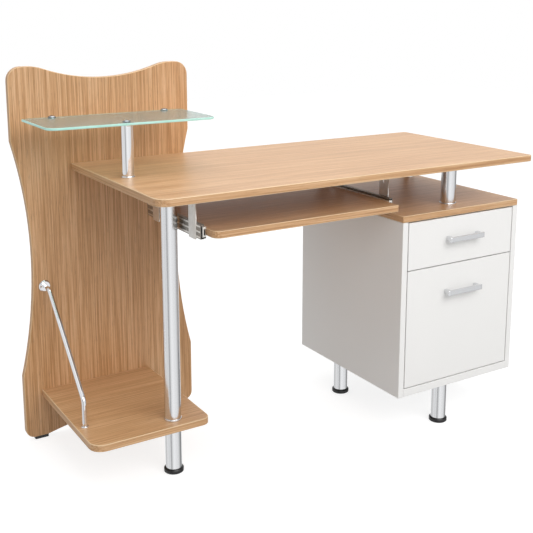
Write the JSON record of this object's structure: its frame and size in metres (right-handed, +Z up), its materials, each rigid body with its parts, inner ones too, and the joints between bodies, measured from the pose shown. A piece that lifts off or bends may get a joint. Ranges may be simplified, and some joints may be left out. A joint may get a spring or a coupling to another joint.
{
  "type": "computer desk with keyboard tray",
  "caption": "Computer desk with an hourglass side panel, low computer shelf, glass shelf on a post, sliding keyboard tray and a drawer pedestal.",
  "frame": {"origin": "on the floor, under the middle of the whole desk's footprint", "axes": "+X to the right along the desktop, +Y to the back, +Z up"},
  "size_m": [1.308, 0.568, 1.0193],
  "materials": {
    "oak_laminate": "light oak melamine laminate, satin",
    "white_laminate": "white melamine laminate, satin",
    "drawer_board": "light grey melamine board, matt",
    "satin_steel": "satin chromed steel tube",
    "chrome": "bright chrome",
    "zinc_steel": "zinc plated sheet steel",
    "satin_aluminium": "satin anodised",
    "black_plastic": "black moulded plastic",
    "frosted_glass": "frosted toughened glass with polished aqua edge"
  },
  "bodies": {
    "desk": {"desktop": "oak_laminate", "back_panel": "oak_laminate", "cpu_shelf": "oak_laminate", "pedestal_top": "oak_laminate", "panel_glide_left": "black_plastic", "panel_glide_right": "black_plastic", "leg_foot": "black_plastic", "leg_tube_upper": "satin_steel", "leg_tube_lower": "satin_steel", "glass_shelf": "frosted_glass", "glass_post": "chrome", "glass_post_cap": "chrome", "glass_arm_left": "chrome", "glass_arm_right": "chrome", "glass_arm_cap_left": "chrome", "glass_arm_cap_right": "chrome", "guard_rod": "chrome", "guard_rod_rosette": "chrome", "tray_slide_outer_left": "zinc_steel", "tray_hanger_front_left": "zinc_steel", "tray_hanger_rear_left": "zinc_steel", "pedestal_side_left": "white_laminate", "tray_slide_outer_right": "zinc_steel", "tray_hanger_front_right": "zinc_steel", "tray_hanger_rear_right": "zinc_steel", "pedestal_side_right": "white_laminate", "pedestal_bottom": "white_laminate", "pedestal_back": "white_laminate", "pedestal_leg_front": "satin_steel", "pedestal_foot_front": "black_plastic", "pedestal_post_front": "satin_steel", "pedestal_leg_rear_left": "satin_steel", "pedestal_foot_rear_left": "black_plastic", "pedestal_post_rear_left": "satin_steel", "pedestal_leg_rear_right": "satin_steel", "pedestal_foot_rear_right": "black_plastic", "pedestal_post_rear_right": "satin_steel", "upper_drawer_runner_fixed_left": "zinc_steel", "upper_drawer_runner_fixed_right": "zinc_steel", "lower_drawer_runner_fixed_left": "zinc_steel", "lower_drawer_runner_fixed_right": "zinc_steel"},
    "tray": {"keyboard_tray": "oak_laminate", "tray_slide_inner_left": "zinc_steel", "tray_slide_inner_right": "zinc_steel"},
    "upper_drawer": {"upper_drawer_front": "white_laminate", "upper_drawer_side_left": "drawer_board", "upper_drawer_side_right": "drawer_board", "upper_drawer_back": "drawer_board", "upper_drawer_bottom": "drawer_board", "upper_drawer_handle": "satin_aluminium", "upper_drawer_runner_sliding_left": "zinc_steel", "upper_drawer_runner_sliding_right": "zinc_steel"},
    "lower_drawer": {"lower_drawer_front": "white_laminate", "lower_drawer_side_left": "drawer_board", "lower_drawer_side_right": "drawer_board", "lower_drawer_back": "drawer_board", "lower_drawer_bottom": "drawer_board", "lower_drawer_handle": "satin_aluminium", "lower_drawer_runner_sliding_left": "zinc_steel", "lower_drawer_runner_sliding_right": "zinc_steel"}
  },
  "joints": [
    {"name": "tray_slide", "type": "slide", "parent": "desk", "child": "tray", "axis": [0, -1, 0], "range_m": [0, 0.22]},
    {"name": "upper_drawer_slide", "type": "slide", "parent": "desk", "child": "upper_drawer", "axis": [0, -1, 0], "range_m": [0, 0.3]},
    {"name": "lower_drawer_slide", "type": "slide", "parent": "desk", "child": "lower_drawer", "axis": [0, -1, 0], "range_m": [0, 0.3]}
  ]
}
